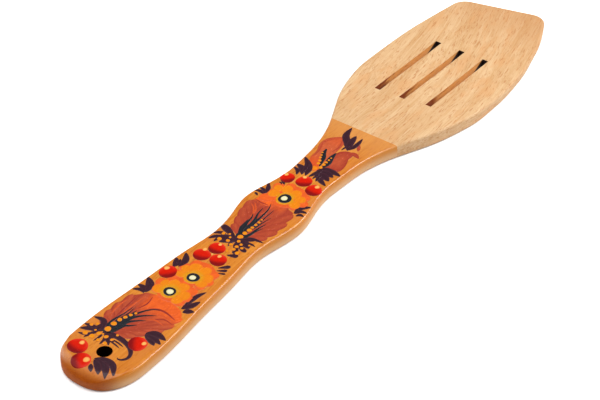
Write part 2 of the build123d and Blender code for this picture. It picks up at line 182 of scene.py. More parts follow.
class Film:
    """Brush marks that dry as one film: a mesh with a colour and a brush direction at each vertex."""

    def __init__(self, node, base):
        self.node = node
        self.base = base
        self.verts = []
        self.faces = []
        self.colours = []
        self.brush = []
        self.marks = 0

    def vertex(self, s, y, height, colour, along, across):
        self.verts.append(on_handle(s, y) + Vector((0, 0, height * MM)))
        self.colours.append(colour)
        self.brush.append((along, across, self.marks * STREAK_SHIFT))
        return len(self.verts) - 1

    def level(self, thickness, f):
        """The height where the film has the part f of its thickness; its rim comes down to the wood."""
        return self.base + self.marks * STEP + thickness * f if f else RIM

    def ribbon(self, points, width, colour, shape=pointed, thickness=FILM, steps=16):
        """A stroke along points. colour(t, u, s, y): t along it, u across it from -1 to 1."""
        path = curve_through(points, steps)
        length = sum(hypot(b[0] - a[0], b[1] - a[1]) for a, b in zip(path, path[1:]))
        rows = []
        for i, (s, y) in enumerate(path):
            before = path[max(0, i - 1)]
            after = path[min(steps, i + 1)]
            way = Vector((after[0] - before[0], after[1] - before[1])).normalized()
            t = i / steps
            half = shape(t) * width / 2
            row = []
            for u, f in ACROSS:
                ps = s - way.y * u * half
                py = y + way.x * u * half
                f = f if 0 < i < steps else 0
                row.append(self.vertex(ps, py, self.level(thickness, f), colour(t, u, ps, py),
                                       t * length, u * half))
            rows.append(row)
        for a, b in zip(rows, rows[1:]):
            for j in range(len(ACROSS) - 1):
                self.faces.append((a[j], b[j], b[j + 1], a[j + 1]))
        self.marks += 1

    def patch(self, centre, rim, colour, thickness=FILM, dome=0.0):
        """A mark filled from centre to rim. colour(f, s, y): f from 0 in the middle to 1 at the rim."""
        cs, cy = centre
        middle = self.vertex(cs, cy, self.level(thickness + dome, 1), colour(0, cs, cy), 0, 0)
        previous = None
        for f, level in OUTWARDS:
            height = self.level(thickness * level + dome * (1 - f * f), 1 if level else 0)
            row = []
            for s, y in rim:
                ps = cs + (s - cs) * f
                py = cy + (y - cy) * f
                row.append(self.vertex(ps, py, height, colour(f, ps, py), ps - cs, py - cy))
            for k in range(len(row)):
                n = (k + 1) % len(row)
                if previous:
                    self.faces.append((previous[k], row[k], row[n], previous[n]))
                else:
                    self.faces.append((middle, row[k], row[n]))
            previous = row
        self.marks += 1

    def disc(self, s, y, radius, colour, thickness=FILM, dome=0.0, wobble=0.03, around=32):
        """A round mark, a little uneven as a brush leaves it."""
        rim = []
        for k in range(around):
            a = 2 * pi * k / around
            r = radius * (1 + wobble * sin(2 * a + s) + 0.6 * wobble * sin(3 * a + 2 * y))
            rim.append((s + r * cos(a), y + r * sin(a)))
        self.patch((s, y), rim, colour, thickness, dome)

    def finish(self, material):
        """Makes the film's mesh, which stands for its CAD node."""
        mesh = bpy.data.meshes.new("paint_" + self.node)
        mesh.from_pydata(self.verts, [], self.faces)
        colour = mesh.attributes.new("paint", "FLOAT_COLOR", "POINT")
        brush = mesh.attributes.new("brush", "FLOAT_VECTOR", "POINT")
        for i, (c, b) in enumerate(zip(self.colours, self.brush)):
            colour.data[i].color = c
            brush.data[i].vector = b
        mesh.materials.append(material)
        for polygon in mesh.polygons:
            polygon.use_smooth = True
        obj = bpy.data.objects.new("paint_" + self.node, mesh)
        bpy.context.collection.objects.link(obj)
        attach(obj, "root")
        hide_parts(self.node)


# ---- materials ------------------------------------------------------------------------------
class Graph:
    """A small helper for node materials: each call adds a node and returns its output."""

    def __init__(self, name):
        self.material = bpy.data.materials.new(name)
        self.material.use_nodes = True
        self.tree = self.material.node_tree
        self.shader = self.tree.nodes["Principled BSDF"]

    def feed(self, node, inputs):
        for key, value in inputs.items():
            if isinstance(value, bpy.types.NodeSocket):
                self.tree.links.new(value, node.inputs[key])
            else:
                node.inputs[key].default_value = value
        return node

    def node(self, kind, inputs, **settings):
        node = self.tree.nodes.new("ShaderNode" + kind)
        for key, value in settings.items():
            setattr(node, key, value)
        return self.feed(node, inputs)

    def surface(self, **inputs):
        self.feed(self.shader, {key.replace("_", " "): value for key, value in inputs.items()})

    def math(self, operation, a, b=0.0):
        return self.node("Math", {0: a, 1: b}, operation=operation).outputs[0]

    def scaled(self, place, scale):
        return self.node("VectorMath", {0: place, 1: scale}, operation="MULTIPLY").outputs[0]

    def noise(self, place, scale, detail=2.0, roughness=0.5):
        inputs = {"Vector": self.scaled(place, scale), "Scale": 1.0, "Detail": detail, "Roughness": roughness}
        return self.node("TexNoise", inputs).outputs[0]

    def step(self, value, low, high):
        """0 below low, 1 above high and smooth between."""
        inputs = {"Value": value, "From Min": low, "From Max": high}
        return self.node("MapRange", inputs, interpolation_type="SMOOTHSTEP").outputs[0]

    def blend(self, factor, a, b, mode="MIX"):
        return self.node("Mix", {0: factor, 6: a, 7: b}, data_type="RGBA", blend_type=mode).outputs[2]

    def bump(self, height, distance, strength):
        return self.node("Bump", {"Height": height, "Distance": distance, "Strength": strength}).outputs[0]

    def place(self):
        """The place on the object in millimetres."""
        return self.scaled(self.node("TexCoord", {}).outputs["Object"], (1000.0, 1000.0, 1000.0))

    def split(self, vector):
        return self.node("SeparateXYZ", {0: vector}).outputs

    def normal(self):
        return self.split(self.node("NewGeometry", {}).outputs["Normal"])


def beech(g, light, dark, blush, fleck, fleck_strength):
    """Beech grain along X, slanting across the blade: returns its place, colour, height and flecks."""
    place = g.place()
    past_neck = g.math("MAXIMUM", g.math("SUBTRACT", g.split(place)[0], START + GRAIN_TURNS_S), 0.0)
    slant = g.math("MULTIPLY", past_neck, g.math("ADD", g.math("MULTIPLY", past_neck, 0.0013), 0.08))
    wander = g.math("MULTIPLY", g.math("SUBTRACT", g.noise(place, (0.018, 0.05, 0.05)), 0.5), 7.0)
    sideways = g.node("CombineXYZ", {"Y": g.math("SUBTRACT", wander, slant), "Z": wander}).outputs[0]
    place = g.node("VectorMath", {0: place, 1: sideways}, operation="ADD").outputs[0]
    bands = g.noise(place, (0.010, 0.20, 0.20), 3, 0.6)
    lines = g.noise(place, (0.045, 1.3, 1.3), 4, 0.65)
    dashes = g.noise(place, (0.24, 1.5, 1.5), 2)
    specks = g.noise(place, (0.50, 3.2, 3.2), 1)
    patches = g.noise(place, (0.05, 0.16, 0.16), 3, 0.6)
    tone = g.math("ADD", g.math("MULTIPLY", g.step(bands, 0.32, 0.68), 0.5),
                  g.math("MULTIPLY", g.step(lines, 0.34, 0.66), 0.5))
    colour = g.blend(tone, light, dark)
    colour = g.blend(g.math("MULTIPLY", g.step(patches, 0.48, 0.66), 0.6), colour, blush)
    flecks = g.math("MAXIMUM", g.step(dashes, 0.56, 0.68),
                    g.math("MULTIPLY", g.step(specks, 0.62, 0.74), 0.6))
    colour = g.blend(g.math("MULTIPLY", flecks, fleck_strength), colour, fleck)
    height = g.math("SUBTRACT", g.math("MULTIPLY", lines, 0.4), flecks)
    return place, colour, height, flecks


def slot_walls(g, colour, place):
    """The slots' walls: a light tan lifted as painted bounce light, brown in patches from the cutter towards
    the handle's end, darker along their top as painted shade and near black at the tip's end as painted
    shadow.
    """
    x, y, z = g.split(g.place())
    between = g.math("MULTIPLY", g.math("GREATER_THAN", x, START + SLOTS_S[0]),
                     g.math("LESS_THAN", x, START + SLOTS_S[1]))
    beside = 0.0
    for middle in SLOTS_Y:
        aside = g.math("ABSOLUTE", g.math("SUBTRACT", y, middle))
        beside = g.math("MAXIMUM", beside, g.math("LESS_THAN", aside, SLOT_HALF_WIDTH + 0.06))
    upright = g.math("LESS_THAN", g.math("ABSOLUTE", g.normal()[2]), 0.5)
    walls = g.math("MULTIPLY", g.math("MULTIPLY", beside, between), upright)
    depth = g.math("DIVIDE", g.math("SUBTRACT", 5.4, z), 3.0)
    burn = g.noise(place, (0.08, 0.7, 0.9), 3)
    near = g.math("MULTIPLY", g.step(x, START + 230.0, START + 212.0), 0.35)
    # patchy scorch, more towards the handle's end, and painted shade: the top of each wall darker, deeper
    # down lighter
    scorch_and_shade = g.math("SUBTRACT", g.math("ADD", burn, near), g.math("MULTIPLY", depth, 0.12))
    scorched_and_shaded = g.step(scorch_and_shade, 0.45, 0.75)
    # the tan is lighter than the beech around it, painted bounce light from the floor under the slot
    wall = g.blend(scorched_and_shaded, paint(262, 182, 98), paint(168, 76, 22))
    # painted shadow: near black at the slot's tip end, reaching higher up the wall towards that end
    tip_shadow_depth = g.math("ADD", g.math("DIVIDE", g.math("SUBTRACT", x, START + 256.0), 6.0), depth)
    wall = g.blend(g.step(tip_shadow_depth, 0.75, 1.1), wall, paint(40, 12, 2))
    return g.blend(walls, colour, wall)


def bare_beech():
    """Unfinished beech, a little darker towards the blade's slanted tip as painted shade."""
    g = Graph("bare_beech")
    place, colour, height, flecks = beech(g, paint(246, 207, 158), paint(216, 164, 106), paint(232, 172, 112),
                                          paint(194, 126, 68), 0.62)
    x, y, _ = g.split(g.place())
    # painted shade: the colour darkens towards the blade's tip, where less light falls
    tip = g.step(g.math("SUBTRACT", x, g.math("MULTIPLY", y, 0.2)), START + 262.0, START + 306.0)
    colour = g.blend(g.math("MULTIPLY", tip, 0.5), colour, paint(206, 144, 88))
    colour = slot_walls(g, colour, place)
    g.surface(Base_Color=colour, Roughness=g.math("ADD", 0.56, g.math("MULTIPLY", flecks, 0.1)),
              Normal=g.bump(height, 0.00005, 0.7), Specular_IOR_Level=0.3)
    return g.material


def lacquered_beech():
    """Amber lacquer, lighter where it thins at its border: painted shade darkens it towards the handle's end,
    end grain and painted shade darken the end face, painted shade and pooled lacquer make the hole near
    black, and painted bounce light makes the side walls paler towards the bottom.
    """
    g = Graph("lacquered_beech")
    place, colour, height, _ = beech(g, paint(242, 156, 56), paint(210, 116, 22), paint(224, 132, 56),
                                     paint(180, 84, 14), 0.5)
    x, y, z = g.split(g.place())
    nx, _, nz = g.normal()
    fade = g.step(x, LACQUER_EDGE / MM - 26, LACQUER_EDGE / MM + 3)
    colour = g.blend(g.math("MULTIPLY", fade, 0.6), colour, paint(230, 162, 92))
    # painted shade: the lacquer is darker towards the handle's end
    colour = g.blend(g.math("MULTIPLY", g.step(x, START + 14.0, START), 0.55), colour, paint(196, 100, 10))
    # painted bounce light: the side walls take a paler colour, paler still towards the bottom
    upright = g.step(g.math("ABSOLUTE", nz), 0.6, 0.2)
    low = g.step(z, 5.5, 1.0)
    side = g.blend(low, paint(226, 146, 66), paint(244, 206, 160))
    colour = g.blend(g.math("MULTIPLY", upright, 0.75), colour, side)
    # the end face is darker for its end grain and, further, as painted shade
    end_grain_and_shade = g.step(g.math("MULTIPLY", nx, -1.0), 0.35, 0.9)
    pores = g.step(g.noise(place, (1.5, 3.0, 3.0)), 0.45, 0.65)
    end_grain_and_shade_tone = g.blend(pores, paint(196, 90, 6), paint(160, 64, 2))
    colour = g.blend(g.math("MULTIPLY", end_grain_and_shade, 0.9), colour, end_grain_and_shade_tone)
    flat = g.node("CombineXYZ", {"X": x, "Y": y}).outputs[0]
    away = g.node("VectorMath", {0: flat, 1: (START + HOLE_S, 0.0, 0.0)},
                  operation="DISTANCE").outputs["Value"]
    inside = g.math("LESS_THAN", away, HOLE_R + 0.1)
    # painted shade, with some dark pooled lacquer: the hole's wall is near black
    colour = g.blend(inside, colour, paint(22, 6, 2))
    ripple = g.noise(place, (0.08, 0.12, 0.12))
    nose = g.math("MULTIPLY", g.step(x, START + 6.0, START + 2.0), 0.8)
    matt = g.math("MAXIMUM", g.math("MAXIMUM", g.math("MULTIPLY", upright, 0.85), nose), inside)
    shine = g.math("SUBTRACT", 1.0, matt)
    rough = g.math("ADD", g.math("MULTIPLY", ripple, 0.12), g.math("MULTIPLY", matt, 0.3))
    g.surface(Base_Color=colour, Roughness=g.math("ADD", 0.16, rough),
              Normal=g.bump(g.math("ADD", g.math("MULTIPLY", height, 0.2), ripple), 0.00008, 0.35),
              Specular_IOR_Level=g.math("MULTIPLY", shine, 0.25), Coat_Weight=g.math("MULTIPLY", shine, 0.2),
              Coat_Roughness=0.05)
    return g.material


def oil_paint(name, streak, worn, shine=1.0):
    """Brushed paint: its vertices' colour, hair streaks along each mark, and wood grain where it is thin."""
    g = Graph(name)
    colour = g.node("Attribute", {}, attribute_name="paint").outputs["Color"]
    brush = g.node("Attribute", {}, attribute_name="brush").outputs["Vector"]
    hairs = g.noise(brush, (0.35, 5.0, 1.0), 3, 0.6)
    pools = g.noise(brush, (0.5, 0.8, 1.0))
    grain = g.noise(g.place(), (0.25, 2.2, 2.2))
    darker = g.blend(1.0, colour, (0.66, 0.56, 0.56, 1.0), "MULTIPLY")
    lighter = g.blend(1.0, colour, (1.22, 1.28, 1.3, 1.0), "MULTIPLY")
    tone = g.math("ADD", g.math("MULTIPLY", g.step(hairs, 0.3, 0.7), 0.65),
                  g.math("MULTIPLY", g.step(pools, 0.3, 0.7), 0.35))
    colour = g.blend(streak, colour, g.blend(tone, darker, lighter))
    colour = g.blend(g.math("MULTIPLY", g.step(grain, 0.58, 0.72), worn), colour, lighter)
    height = g.math("ADD", hairs, g.math("MULTIPLY", pools, 0.5))
    g.surface(Base_Color=colour, Roughness=g.math("ADD", 0.18, g.math("MULTIPLY", pools, 0.14)),
              Normal=g.bump(height, 0.00002, 0.3), Specular_IOR_Level=0.2 * shine,
              Coat_Weight=0.1 * shine, Coat_Roughness=0.1)
    return g.material


def pale_floor():
    g = Graph("pale_floor")
    tone = g.step(g.noise(g.place(), (0.02, 0.02, 0.02)), 0.3, 0.7)
    g.surface(Base_Color=g.blend(tone, (0.88, 0.88, 0.89, 1.0), (0.90, 0.90, 0.90, 1.0)), Roughness=0.6,
              Specular_IOR_Level=0.2)
    return g.material


# ---- the painting ---------------------------------------------------------------------------
def plain(colour, edge):
    """One colour, a little darker or lighter at the sides of the stroke."""
    return lambda t, u, s, y: mix(colour, edge, 0.6 * abs(u) ** 3)


def berry(film, s, y, radius, glints):
    """A red berry: a crimson crescent away from its first glint, a light rim near it, and its glints."""
    ahead = Vector((glints[0][0] - s, glints[0][1] - y)).normalized()

    def colour(f, ps, py):
        toward = ((ps - s) * ahead.x + (py - y) * ahead.y) / radius
        shade = smooth(0.15, -0.55, toward + 0.2 * (1 - f))
        rim = smooth(0.5, 1.0, f) * smooth(-0.1, 0.8, toward)
        return mix(mix(RED, CRIMSON, 0.95 * shade), RED_LIGHT, 0.8 * rim)

    film.disc(s, y, radius, colour, dome=0.02)
    for gs, gy, size in glints:
        film.disc(gs, gy, size, lambda f, ps, py: mix(GLINT, ORANGE_RED, 0.7 * smooth(0.5, 1.0, f)),
                  thickness=FILM + 0.02, wobble=0.06, around=20)


BERRIES = [
    ((11.5, 10.3, 4.1), [(13.8, 10.1, 1.15)]),
    ((6.3, 4.1, 4.0), [(7.6, 2.5, 1.45)]),
    ((25.4, -7.4, 3.9), [(26.9, -9.4, 1.05)]),
    ((64.3, 9.8, 3.7), [(65.8, 11.6, 1.2)]),
    ((80.1, 5.6, 3.6), [(83.3, 6.5, 1.0)]),
    ((86.6, 3.1, 3.5), [(89.1, 3.4, 0.85)]),
    ((81.2, -1.8, 3.6), [(83.2, -0.9, 0.95), (82.6, 2.3, 0.55)]),
    ((138.8, 7.6, 3.2), [(140.3, 9.2, 0.95)]),
    ((140.7, 0.5, 3.5), [(143.1, 1.9, 1.0)]),
    ((138.2, -6.2, 3.6), [(140.7, -6.2, 1.1)]),
]

# ring, heart, the round under the petals, the outer petals' tips and widths, and the inner petals
FLOWERS = [
    ((55.6, 1.8, 2.65), (55.6, 1.6, 1.5), (57.6, 0.6, 7.3),
     [((51.0, 4.0), 4.0), ((54.0, 9.6), 5.0), ((59.2, 10.4), 5.0), ((64.3, 6.5), 5.4), ((64.6, 0.0), 5.0),
      ((62.0, -7.4), 5.4), ((51.8, -7.6), 4.6), ((56.5, -8.6), 5.0)],
     [(54.6, 6.2, 2.9), (58.5, 6.4, 2.1), (60.4, 3.4, 2.5), (60.4, -0.9, 2.8), (56.8, -4.3, 2.9),
      (53.2, -3.8, 2.4)]),
    ((67.3, -0.4, 2.7), (67.1, -0.3, 1.4), (70.0, -0.6, 7.2),
     [((65.8, 8.2), 4.6), ((71.5, 8.4), 4.8), ((76.6, 4.8), 5.2), ((77.3, -1.5), 5.0), ((74.6, -7.8), 5.2),
      ((64.0, -8.0), 4.6), ((68.6, -9.4), 5.0)],
     [(66.4, 4.8, 2.3), (69.8, 5.2, 2.3), (72.4, 2.5, 2.9), (72.8, -1.9, 2.8), (69.8, -5.4, 2.8),
      (66.2, -5.6, 2.4)]),
    ((127.1, 0.1, 2.95), (127.1, 0.4, 1.45), (129.0, -0.4, 7.6),
     [((127.8, 9.0), 4.8), ((133.6, 9.0), 5.2), ((137.0, 3.6), 5.2), ((136.3, -3.0), 5.0),
      ((133.6, -8.2), 5.2), ((124.2, -8.2), 4.6), ((128.8, -10.4), 4.8), ((122.0, 9.6), 5.5)],
     [(127.5, 6.0, 2.6), (131.2, 6.4, 2.2), (132.6, 3.0, 2.7), (132.0, -1.9, 2.8), (130.1, -5.6, 2.4),
      (126.2, -5.6, 2.6)]),
]


def flower(n, ring, heart, under, tips, inner):
    """Orange petals, a round of yellow ones on them, and a cream heart in a dark ring."""
    petals = Film(f"flower_petals_{n}", BLOSSOM)
    petals.disc(*under, lambda f, s, y: mix(ORANGE_RED, ORANGE_DEEP, 0.5 * f))
    for tip, width in tips:
        petals.ribbon([ring[:2], tip], width, plain(ORANGE_RED, ORANGE_DEEP), petal_shape)

    def yellow(f, s, y):
        away = hypot(s - ring[0], y - ring[1])
        warm = mix(YELLOW_GREEN, YELLOW_ORANGE, smooth(2.6, 5.2, away))
        return mix(warm, ORANGE_RED, 0.8 * smooth(0.8, 1.0, f) * smooth(4.0, 6.0, away))

    petals.disc(ring[0], ring[1], 4.0, yellow)
    for petal in inner:
        petals.disc(*petal, yellow, wobble=0.05)
    petals.finish(BLOSSOM_PAINT)

    dark = Film(f"flower_ring_{n}", ROUND)
    dark.disc(*ring, lambda f, s, y: mix(TEAL_BLACK, TEAL_LIGHT, 0.5 * smooth(0.8, 1.0, f)), wobble=0.035)
    dark.finish(DARK_PAINT)

    middle = Film(f"flower_heart_{n}", HEART)
    middle.disc(*heart, lambda f, s, y: mix(CREAM, CREAM_EDGE, smooth(0.6, 1.0, f)), dome=0.02)
    middle.finish(CREAM_PAINT)


# outline of a leaf, where its strokes start, and their tips and widths in the order they were painted
LOWER_LEAF = (
    [(24.5, 6.5), (27.5, 10.0), (29.5, 13.0), (34, 13.8), (40, 13.6), (45, 12.5), (47.6, 10.4), (50.5, 7.2),
     (51.4, 2), (50.8, -4), (49.2, -9), (46, -11.8), (43.2, -11.2), (41, -12.0), (38.4, -10), (36, -9.8),
     (32.5, -7), (29, -4.5), (26.5, -2), (25.2, 1), (24.4, 4)],
    (24.2, 5.8),
    [((50.6, 8.0), 5.5), ((46.3, 12.6), 5.0), ((40.0, 13.8), 5.0), ((34.5, 14.0), 4.8),
     ((29.5, 13.1), 4.2), ((51.3, 2.5), 6.0), ((51.0, -3.0), 6.0), ((49.6, -8.5), 5.5),
     ((46.3, -12.6), 5.0), ((41.5, -12.6), 4.6), ((36.8, -11.0), 4.2), ((32.5, -7.5), 4.0),
     ((28.3, -4.3), 4.0), ((25.8, -1.8), 3.5)])
MIDDLE_LEAF = (
    [(97.2, 0.4), (99.6, 4.6), (102.4, 6.8), (105, 7.0), (108, 8.5), (112, 9.8), (114, 9.6), (118, 10.9),
     (120.2, 9.8), (123, 9.2), (125, 5), (124.4, 2.4), (124.2, -1), (122.6, -4.6), (121.4, -8.4), (117, -8.9),
     (113, -10.0), (108, -10.1), (104.5, -8.9), (101.5, -8), (99.4, -5), (97.8, -2)],
    (97.2, -0.2),
    [((118.6, 11.3), 4.8), ((113.6, 10.6), 4.6), ((108.0, 8.9), 4.4), ((102.8, 7.5), 4.0),
     ((124.6, 1.2), 5.4), ((123.8, -4.2), 5.4), ((120.8, -9.2), 5.0), ((115.0, -10.5), 4.8),
     ((108.4, -10.6), 4.6), ((103.0, -9.6), 4.0), ((100.0, -6.5), 3.0)])


def leaf_fan(film, leaf, middle, orange, glow, edging):
    """A leaf's ground and its fan of strokes: brick, turning orange where orange(s, y) nears 1."""
    def colour(t, u, s, y):
        brick = mix(BRICK, BRICK_LIGHT, glow * smooth(0.2, 0.9, t) * (1 - abs(u)))
        edge = edging * abs(u) ** 3 * smooth(0.2, 0.6, t)
        return mix(mix(brick, BRICK_DARK, edge), mix(ORANGE_RED, ORANGE_DEEP, edge), orange(s, y))

    rim, base, tips = leaf
    film.patch(middle, curve_through(rim, 84, closed=True),
               lambda f, s, y: mix(BRICK, ORANGE_RED, orange(s, y)))
    for tip, width in tips:
        film.ribbon([base, tip], width, colour, petal_shape, steps=20)


def lower_leaf():
    def orange(s, y):
        return smooth(38, 46, s) * smooth(8, 4, y)

    film = Film("lower_leaf", GROUND)
    leaf_fan(film, LOWER_LEAF, (38.0, 1.0), orange, 0.6, 0.6)
    dark = plain(BRICK_DARK, BRICK)
    light = plain(ORANGE_DEEP, BRICK_LIGHT)
    for points, width in [([(39, 3.6), (43.6, 0.8), (45.3, -4.0), (43.6, -11.6)], 1.1),
                          ([(40, 5.8), (45, 4.3), (49.6, 5.2)], 0.7),
                          ([(37.5, -1.5), (41.6, -6.5), (41.2, -11.8)], 0.6),
                          ([(30, 9.0), (38, 9.8), (46.6, 10.4)], 0.7)]:
        film.ribbon(points, width, dark)
    for points, width in [([(36, 0.5), (39.4, -4.0), (38.8, -9.6)], 0.8),
                          ([(41, -1.0), (43.0, -5.0), (42.6, -11.4)], 0.8),
                          ([(31, 11.4), (37, 12.6), (43.0, 12.2)], 0.8),
                          ([(34, 8.4), (41, 8.4), (48.0, 7.6)], 0.8)]:
        film.ribbon(points, width, light)
    film.finish(LEAF_PAINT)


def middle_leaf():
    def orange(s, y):
        left = smooth(119.4, 120.2, s) * smooth(2.2, 3.0, y)
        return max(left, 0.5 * smooth(117, 121, s) * smooth(-5.5, -2.5, y) * smooth(2.5, 0.5, y))

    film = Film("middle_leaf", GROUND)
    leaf_fan(film, MIDDLE_LEAF, (111.0, 0.0), orange, 0.35, 0.5)
    film.ribbon([(119.6, 2.4), (122.6, 5.0), (123.0, 10.0)], 5.6, plain(ORANGE_RED, ORANGE_DEEP), comma)
    film.ribbon([(120.2, 10.0), (119.7, 6.5), (120.0, 2.6)], 0.7, plain(BRICK_DARK, BRICK))
    for points, width in [([(109.5, 4.6), (114.5, 5.4), (118.6, 9.0)], 0.9),
                          ([(110, 3.6), (115, 6.8), (117.0, 9.6)], 0.6),
                          ([(113, 2.0), (118.5, 1.2), (123.6, 2.4)], 0.7)]:
        film.ribbon(points, width, plain(ORANGE_DEEP, BRICK_LIGHT))
    film.finish(LEAF_PAINT)


# strokes as their points, their greatest width and sometimes their shape
FRONDS = {
    "lower": [([(22.4, 6.9), (28.0, 6.2), (33.0, 5.8), (39.0, 4.4)], 5.2),
              ([(24.0, 8.0), (29.5, 9.0), (35.0, 8.0), (41.0, 7.4)], 1.5),
              ([(30.0, 8.0), (36.0, 6.6), (41.5, 6.8)], 1.0), ([(30.0, 7.0), (36.0, 5.6), (40.0, 5.0)], 1.3),
              ([(24.0, 6.0), (29.6, 3.9), (31.5, 1.6), (33.6, -0.6)], 1.9),
              ([(27.0, 5.0), (32.4, 3.6), (35.2, 1.2), (37.6, -1.9)], 1.8),
              ([(29.0, 5.0), (35.0, 3.9), (39.0, 0.9), (42.0, -3.4)], 1.8),
              ([(33.0, 5.0), (39.0, 3.6), (43.2, 0.8), (45.4, -2.6)], 1.3),
              ([(24.6, 4.8), (28.4, 3.6), (31.6, 2.4)], 1.4)],
    "middle": [([(95.6, 0.0), (101.0, 0.7), (106.0, 1.0), (113.0, 0.8)], 4.6),
               ([(97.6, 0.6), (102.0, 3.2), (105.0, 3.8), (108.4, 4.2)], 1.7),
               ([(100.0, 1.4), (106.0, 3.2), (109.4, 3.6), (112.4, 5.0)], 1.5),
               ([(102.0, 1.0), (109.0, 1.8), (113.4, 3.2), (117.6, 3.7)], 1.5),
               ([(104.0, 0.4), (112.0, 0.8), (117.6, 1.3), (121.8, 2.9)], 1.3),
               ([(103.0, -0.6), (110.0, -0.9), (119.0, -0.8)], 1.1),
               ([(96.6, -0.8), (101.0, -2.4), (105.0, -2.7), (110.0, -3.7)], 2.0),
               ([(99.0, -1.6), (103.0, -2.9), (107.0, -4.4)], 1.2),
               ([(104.0, -1.2), (109.0, -1.9), (114.4, -3.0)], 0.9)],
}

